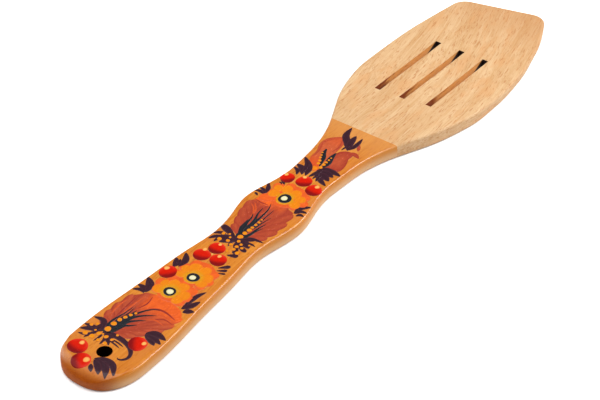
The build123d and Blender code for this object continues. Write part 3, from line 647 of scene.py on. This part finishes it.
DARK_LEAVES = {
    "end_leaf": [([(9.8, 0.8), (11.4, -3.0), (10.8, -7.6), (6.2, -12.0)], 3.3),
                 ([(9.2, 0.6), (9.4, -3.2), (7.6, -6.9), (4.0, -9.5)], 3.4),
                 ([(9.2, 0.2), (7.6, -3.2), (4.1, -6.3)], 3.2),
                 ([(7.0, -0.3), (5.4, -1.5), (3.7, -3.1)], 2.0)],
    "end_spray": [([(23.6, 7.8), (22.3, 12.0), (19.5, 16.6)], 2.8),
                  ([(23.4, 8.0), (23.2, 12.6), (22.6, 16.9)], 2.1),
                  ([(22.8, 9.0), (18.8, 11.6), (17.2, 15.4)], 1.7),
                  ([(22.6, 8.8), (25.8, 9.8), (28.2, 12.2), (27.6, 16.4)], 2.7),
                  ([(21.4, 10.6), (24.0, 10.6), (26.6, 10.9)], 2.6),
                  ([(22.8, 8.6), (20.2, 10.6), (16.4, 11.8)], 1.7),
                  ([(24.0, 7.4), (20.4, 6.9), (17.0, 7.4)], 1.1),
                  ([(23.8, 7.2), (20.6, 4.6), (16.8, 4.2)], 1.5),
                  ([(23.6, 6.8), (21.4, 4.0), (18.4, 0.9)], 2.1),
                  ([(23.4, 6.4), (21.8, 2.6), (20.2, 0.2)], 1.8),
                  ([(20.6, 3.0), (20.3, -0.4), (19.5, -3.6)], 0.7),
                  ([(21.8, 3.0), (21.6, -0.8), (20.9, -4.4)], 0.7)],
    "side_leaf_lower": [([(31.2, -6.2), (30.2, -9.6), (28.2, -13.2)], 3.1),
                        ([(31.4, -6.0), (31.4, -10.0), (30.1, -14.9)], 2.9),
                        ([(31.6, -6.0), (33.6, -9.6), (33.0, -15.1)], 3.4)],
    "flower_leaf_left": [([(49.8, 9.1), (54.2, 10.6), (57.6, 14.4)], 3.6),
                         ([(49.0, 9.5), (51.6, 11.8), (51.9, 14.8)], 2.4),
                         ([(49.4, 9.9), (49.9, 12.2), (48.4, 14.8)], 1.8),
                         ([(49.6, 9.6), (53.0, 9.2), (56.0, 9.8)], 1.2)],
    "berry_leaf_left": [([(67.6, 9.9), (70.6, 10.9), (73.1, 12.8)], 2.6),
                        ([(68.6, 9.5), (71.0, 9.5), (73.3, 10.9)], 1.5),
                        ([(69.0, 8.4), (73.6, 8.6), (77.6, 11.5)], 3.0)],
    "flower_leaf_right": [([(50.0, -8.2), (56.0, -8.4), (60.0, -8.8), (63.6, -10.2)], 2.3),
                          ([(50.3, -8.4), (54.0, -10.4), (57.9, -11.7)], 2.8),
                          ([(49.0, -9.9), (50.6, -11.2), (51.8, -13.6)], 2.7)],
    "middle_spray_left": [([(94.6, 3.4), (92.4, 8.0), (89.4, 10.0)], 2.0),
                          ([(95.0, 4.6), (95.2, 8.0), (93.2, 10.6)], 1.9),
                          ([(94.2, 4.4), (91.4, 6.6), (89.2, 6.9)], 1.5),
                          ([(95.8, 1.8), (93.4, 1.0), (90.0, 0.4)], 1.6),
                          ([(95.4, 2.2), (93.0, 3.8), (90.6, 4.0)], 1.6),
                          ([(96.0, -1.2), (94.0, 3.0), (93.2, 7.8)], 5.0),
                          ([(95.6, 0.2), (92.8, 2.6), (90.2, 5.2)], 2.6),
                          ([(94.8, -0.4), (97.4, 5.0), (99.5, 10.9)], 3.4, petal_shape)],
    "middle_spray_right": [([(96.4, -0.6), (93.0, -2.0), (90.4, -2.2)], 2.8),
                           ([(93.4, -2.0), (90.4, -3.6), (87.6, -4.4)], 2.4, petal_shape),
                           ([(91.6, -3.2), (89.2, -4.6), (88.0, -6.2)], 2.2, petal_shape),
                           ([(96.0, -0.6), (99.0, -4.4), (99.8, -10.2)], 1.7),
                           ([(96.6, -1.0), (97.6, -3.6), (98.8, -6.4)], 2.0),
                           ([(94.6, -2.0), (92.4, -4.4), (91.2, -7.8)], 2.3, petal_shape),
                           ([(96.0, -1.0), (95.2, -4.6), (93.6, -7.4)], 3.4),
                           ([(95.2, -1.6), (93.6, -3.6), (92.0, -4.8)], 2.6),
                           ([(95.6, -3.0), (96.3, -6.2), (96.0, -8.8)], 1.1)],
    "crown_leaf_left": [([(123.4, 12.8), (123.2, 11.8), (122.4, 10.5)], 1.2),
                        ([(124.2, 9.3), (128.2, 9.6), (132.2, 12.4)], 2.1),
                        ([(124.6, 9.2), (125.4, 11.4), (124.6, 14.0)], 1.7),
                        ([(125.4, 9.0), (127.0, 11.0), (127.4, 13.6)], 1.6)],
    "crown_leaf_right": [([(121.4, -8.7), (125.6, -8.9), (129.0, -12.2)], 2.4),
                         ([(121.6, -8.9), (124.2, -10.4), (124.7, -13.0)], 1.7),
                         ([(120.6, -10.2), (122.2, -11.2), (122.2, -13.2)], 1.6)],
    "berry_leaf_upper": [([(137.2, 9.9), (136.2, 8.0), (134.3, 5.8)], 1.6),
                         ([(134.6, 8.9), (134.6, 7.8), (133.6, 6.8)], 0.8)],
    "tulip_leaf_left": [([(144.0, 2.4), (149.6, 4.6), (154.6, 10.5)], 3.2),
                        ([(143.8, 4.0), (147.4, 6.4), (148.6, 10.2)], 3.0),
                        ([(142.6, 5.9), (145.2, 7.2), (146.3, 10.0)], 1.9),
                        ([(144.2, 4.6), (150.0, 6.0), (153.4, 8.6)], 2.2)],
    "tulip_leaf_right": [([(146.4, 0.4), (151.6, -1.2), (152.4, -5.8), (151.9, -10.0)], 3.2),
                         ([(147.6, 0.2), (150.4, -3.4), (149.6, -7.8)], 3.6),
                         ([(147.6, 0.0), (148.2, -3.6), (146.6, -7.8)], 3.9),
                         ([(148.4, 0.0), (145.4, -4.0), (143.2, -8.6)], 2.6),
                         ([(151.8, -1.4), (148.0, -0.2), (144.2, 1.0)], 2.0),
                         ([(149.0, -1.6), (146.4, -1.4), (144.0, -1.2)], 1.3),
                         ([(148.6, -3.0), (145.8, -2.8), (143.4, -3.4)], 1.4)],
    "tip_leaf": [([(167.6, -2.0), (171.8, 1.2), (176.2, 4.9), (182.0, 5.9)], 3.4),
                 ([(168.0, -1.6), (172.6, 0.2), (178.3, 1.0)], 3.4),
                 ([(168.0, -1.8), (172.4, -2.8), (178.2, -2.3)], 2.2),
                 ([(166.6, 0.5), (168.6, 0.2), (171.6, -0.8)], 1.0)],
}

LOOSE_STROKES = [((77.3, -4.7), (80.9, -8.4), 2.1), ((75.8, -5.3), (78.2, -8.9), 1.6),
                 ((74.8, -6.6), (76.2, -9.5), 1.1), ((85.5, -2.6), (87.6, -6.9), 2.5)]

SCROLL = [(22.9, 7.4), (23.7, 4.6), (23.9, 1.0), (23.4, -2.8), (22.0, -6.4), (19.6, -8.9), (17.2, -9.5),
          (15.3, -8.4), (14.7, -6.9), (15.3, -5.9)]

TULIP_UPPER = [(150.2, 2.6), (152.4, 6.6), (156.0, 8.4), (160.2, 8.7), (165.2, 10.6), (169.6, 10.2),
               (172.9, 7.4), (174.2, 4.9), (171.6, 2.4), (168.2, 1.6), (162.0, 1.3), (155.0, 1.6)]
TULIP_LOWER = [(152.2, -0.2), (157.5, 0.2), (162.0, 1.0), (165.6, 0.1), (167.6, -3.0), (166.9, -5.6),
               (165.2, -5.9), (163.0, -5.8), (160.2, -6.9), (157.0, -7.6), (153.8, -7.0), (153.2, -3.4)]
TULIP_HEART = [([(151.8, 1.2), (157.6, 3.2), (160.4, 5.0), (164.4, 6.2)], 2.3),
               ([(151.8, 0.2), (155.4, -0.4), (159.4, 0.6), (164.0, 1.0)], 2.8)]

DOTS = {
    "end_dots": [(18.7, 12.8, 1.1), (23.6, 13.9, 0.75), (25.2, 12.3, 0.7), (18.7, 9.5, 1.2),
                 (21.4, 8.3, 1.05), (18.4, 6.1, 0.85), (21.5, 4.8, 0.95), (18.4, 2.8, 0.95),
                 (21.5, 1.9, 0.75), (24.6, 1.8, 0.6), (22.1, 10.6, 0.5), (22.0, 6.8, 0.5)],
    "lower_leaf_dots": [(25.3, 7.2, 1.4), (28.9, 7.3, 1.2), (31.9, 6.9, 1.0), (34.2, 6.1, 0.85),
                        (36.4, 5.2, 0.75), (38.2, 4.2, 0.6)],
    "middle_spray_dots_left": [(91.8, 6.0, 0.95), (95.3, 6.7, 0.8), (96.4, 4.4, 0.55), (94.9, 3.0, 0.55),
                               (92.8, 2.5, 0.85), (91.6, 0.0, 0.8)],
    "middle_spray_dots_right": [(94.9, -1.3, 0.8), (91.8, -2.7, 0.85), (89.8, -2.8, 0.8), (93.8, -3.4, 0.7),
                                (92.2, -5.0, 0.7), (88.8, -5.3, 1.0), (95.2, -6.4, 0.5), (87.5, -1.3, 0.6)],
    "middle_leaf_dots": [(97.5, -0.1, 1.25), (100.3, -0.2, 1.05), (102.8, -0.5, 1.05), (104.8, -0.5, 0.75),
                         (106.9, -0.6, 0.7), (108.9, -0.7, 0.65), (110.8, -0.6, 0.45)],
    "tulip_dots": [(153.8, 2.9, 0.8), (155.7, 3.6, 0.75), (157.5, 4.6, 0.6), (159.1, 5.2, 0.5),
                   (160.7, 5.9, 0.45), (152.1, 0.5, 0.9), (154.3, 0.5, 0.8), (156.2, 0.6, 0.65),
                   (158.0, 0.6, 0.5), (159.7, 0.6, 0.4)],
}


def tulip():
    def upper_colour(f, s, y):
        sun = mix(BRICK_LIGHT, ORANGE_DEEP, max(smooth(160, 153, s), 0.45 * smooth(165, 171, s)))
        return mix(sun, BRICK, 0.8 * smooth(0.78, 1.0, f) * smooth(153, 160, s))

    def lower_colour(f, s, y):
        return mix(mix(BRICK, BRICK_LIGHT, 0.5 * smooth(0.8, 0.2, f)), BRICK_DARK, 0.8 * smooth(0.8, 1.0, f))

    upper = Film("tulip_petal_upper", BLOSSOM)
    upper.patch((162.0, 4.6), curve_through(TULIP_UPPER, 72, closed=True), upper_colour)
    upper.ribbon([(155.5, 7.6), (161, 7.9), (167, 9.6), (172, 6.8)], 1.0, plain(BRICK, BRICK_LIGHT))
    upper.ribbon([(163.0, 3.0), (168.0, 2.4), (173.0, 4.2)], 1.1, plain(BRICK, BRICK_LIGHT))
    upper.finish(LEAF_PAINT)
    lower = Film("tulip_petal_lower", BLOSSOM)
    lower.patch((159.5, -3.0), curve_through(TULIP_LOWER, 72, closed=True), lower_colour)
    lower.ribbon([(166.2, -3.0), (167.3, -5.8), (166.0, -9.0)], 2.3, plain(BRICK, BRICK_DARK))
    lower.finish(LEAF_PAINT)
    sepal = Film("tulip_sepal", BLOSSOM)
    sepal.disc(150.4, 2.3, 1.8, lambda f, s, y: mix(YELLOW_ORANGE, ORANGE_DEEP, 0.8 * smooth(0.4, 1.0, f)))
    sepal.finish(BLOSSOM_PAINT)
    end = Film("tulip_tail", BLOSSOM)
    end.ribbon([(169.8, -5.8), (172.0, -4.6), (174.8, -2.6)], 1.6, plain(BRICK, BRICK_LIGHT))
    end.finish(LEAF_PAINT)
    heart = Film("tulip_heart", DARK)
    for points, width in TULIP_HEART:
        heart.ribbon(points, width, plain(TEAL_BLACK, TEAL_LIGHT))
    heart.finish(DARK_PAINT)


def dark_leaves():
    for node, strokes in DARK_LEAVES.items():
        film = Film(node, DARK)
        for points, width, *shape in strokes:
            film.ribbon(points, width, plain(AUBERGINE, AUBERGINE_LIGHT), *shape)
        film.finish(DARK_PAINT)
    loose = Film("loose_strokes", DARK)
    for start, stop, width in LOOSE_STROKES:
        loose.ribbon([start, stop], width, plain(AUBERGINE, AUBERGINE_LIGHT), petal_shape)
    loose.finish(DARK_PAINT)
    scroll = Film("scroll", DARK)
    scroll.ribbon(SCROLL, 3.0, plain(AUBERGINE, AUBERGINE_LIGHT), tail, steps=36)
    scroll.finish(DARK_PAINT)


def fronds():
    for leaf, strokes in FRONDS.items():
        film = Film(f"{leaf}_leaf_fronds", DARK)
        for points, width in strokes:
            film.ribbon(points, width, plain(TEAL_BLACK, TEAL_LIGHT), tail, steps=24)
        film.finish(DARK_PAINT)


def dots():
    for node, spots in DOTS.items():
        film = Film(node, DOT)
        for s, y, radius in spots:
            film.disc(s, y, radius, lambda f, ps, py: mix(YELLOW, ORANGE_RED, 0.45 * smooth(0.6, 1.0, f)),
                      dome=0.03, wobble=0.05, around=20)
        film.finish(DOT_PAINT)


LEAF_PAINT = oil_paint("leaf_paint", 0.55, 0.25)
BLOSSOM_PAINT = oil_paint("blossom_paint", 0.3, 0.1)
BERRY_PAINT = oil_paint("berry_paint", 0.25, 0.0, 0.3)
DARK_PAINT = oil_paint("dark_paint", 0.4, 0.1)
CREAM_PAINT = oil_paint("cream_paint", 0.15, 0.0)
DOT_PAINT = oil_paint("dot_paint", 0.2, 0.0)

lower_leaf()
middle_leaf()
tulip()
for number, parts in enumerate(FLOWERS, 1):
    flower(number, *parts)
dark_leaves()
fronds()
for number, (place, glints) in enumerate(BERRIES, 1):
    red = Film(f"berry_{number:02d}", ROUND)
    berry(red, *place, glints)
    red.finish(BERRY_PAINT)
dots()

# ---- wood and lacquer -----------------------------------------------------------------------
for name, material in (("beech_body", bare_beech()), ("lacquer_coat", lacquered_beech())):
    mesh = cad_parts[name].data
    if mesh.materials:
        for index in range(len(mesh.materials)):
            mesh.materials[index] = material
    else:
        mesh.materials.append(material)


# ---- floor, light and camera ----------------------------------------------------------------
FLOOR_Z = -0.0001  # just below the underside, so that the two faces never fall together


def floor():
    mesh = bpy.data.meshes.new("floor")
    cells = 24
    size = 6.0
    verts = [((i / cells - 0.5) * size, (j / cells - 0.5) * size, FLOOR_Z)
             for i in range(cells + 1) for j in range(cells + 1)]
    row = cells + 1
    faces = [(i * row + j, (i + 1) * row + j, (i + 1) * row + j + 1, i * row + j + 1)
             for i in range(cells) for j in range(cells)]
    mesh.from_pydata(verts, [], faces)
    mesh.materials.append(pale_floor())
    obj = bpy.data.objects.new("floor", mesh)
    bpy.context.collection.objects.link(obj)


def area_light(name, direction, distance, width, height, strength):
    """A white rectangular light that faces the frame's origin from that direction."""
    light = bpy.data.lights.new(name, "AREA")
    light.shape = "RECTANGLE"
    light.size = width
    light.size_y = height
    light.energy = strength
    obj = bpy.data.objects.new(name, light)
    way = Vector(direction).normalized()
    obj.matrix_world = Matrix.Translation(way * distance) @ way.to_track_quat("Z", "Y").to_matrix().to_4x4()
    bpy.context.collection.objects.link(obj)


floor()
area_light("overhead", (-0.25, 0.35, 1.0), 1.6, 2.4, 2.4, 46.0)
area_light("right", (0.62, -0.62, 0.74), 1.2, 1.0, 0.5, 22.0)
area_light("left", (-0.15, 1.0, 0.35), 1.4, 1.0, 0.4, 5.0)
world = bpy.data.worlds.new("studio")
world.use_nodes = True
world.node_tree.nodes["Background"].inputs["Color"].default_value = (1.0, 1.0, 1.0, 1.0)
world.node_tree.nodes["Background"].inputs["Strength"].default_value = 0.22
bpy.context.scene.world = world
bpy.context.scene.view_settings.view_transform = "Standard"

azimuth, elevation = radians(AZIMUTH), radians(ELEVATION)
back = Vector((sin(azimuth) * cos(elevation), -cos(azimuth) * cos(elevation), sin(elevation)))
level = back.cross(Vector((0, 0, 1))) * -1
level.normalize()
upward = back.cross(level)
turn = radians(ROLL)
right = cos(turn) * level + sin(turn) * upward
up = cos(turn) * upward - sin(turn) * level
camera = bpy.data.objects.new("camera", bpy.data.cameras.new("camera"))
camera.data.lens = LENS
camera.data.sensor_width = 36.0
camera.data.clip_start = 0.01
place = TARGET + DISTANCE * back
camera.matrix_world = Matrix([(*axis, at) for axis, at in zip(zip(right, up, back), place)] + [(0, 0, 0, 1)])
bpy.context.collection.objects.link(camera)
bpy.context.scene.camera = camera
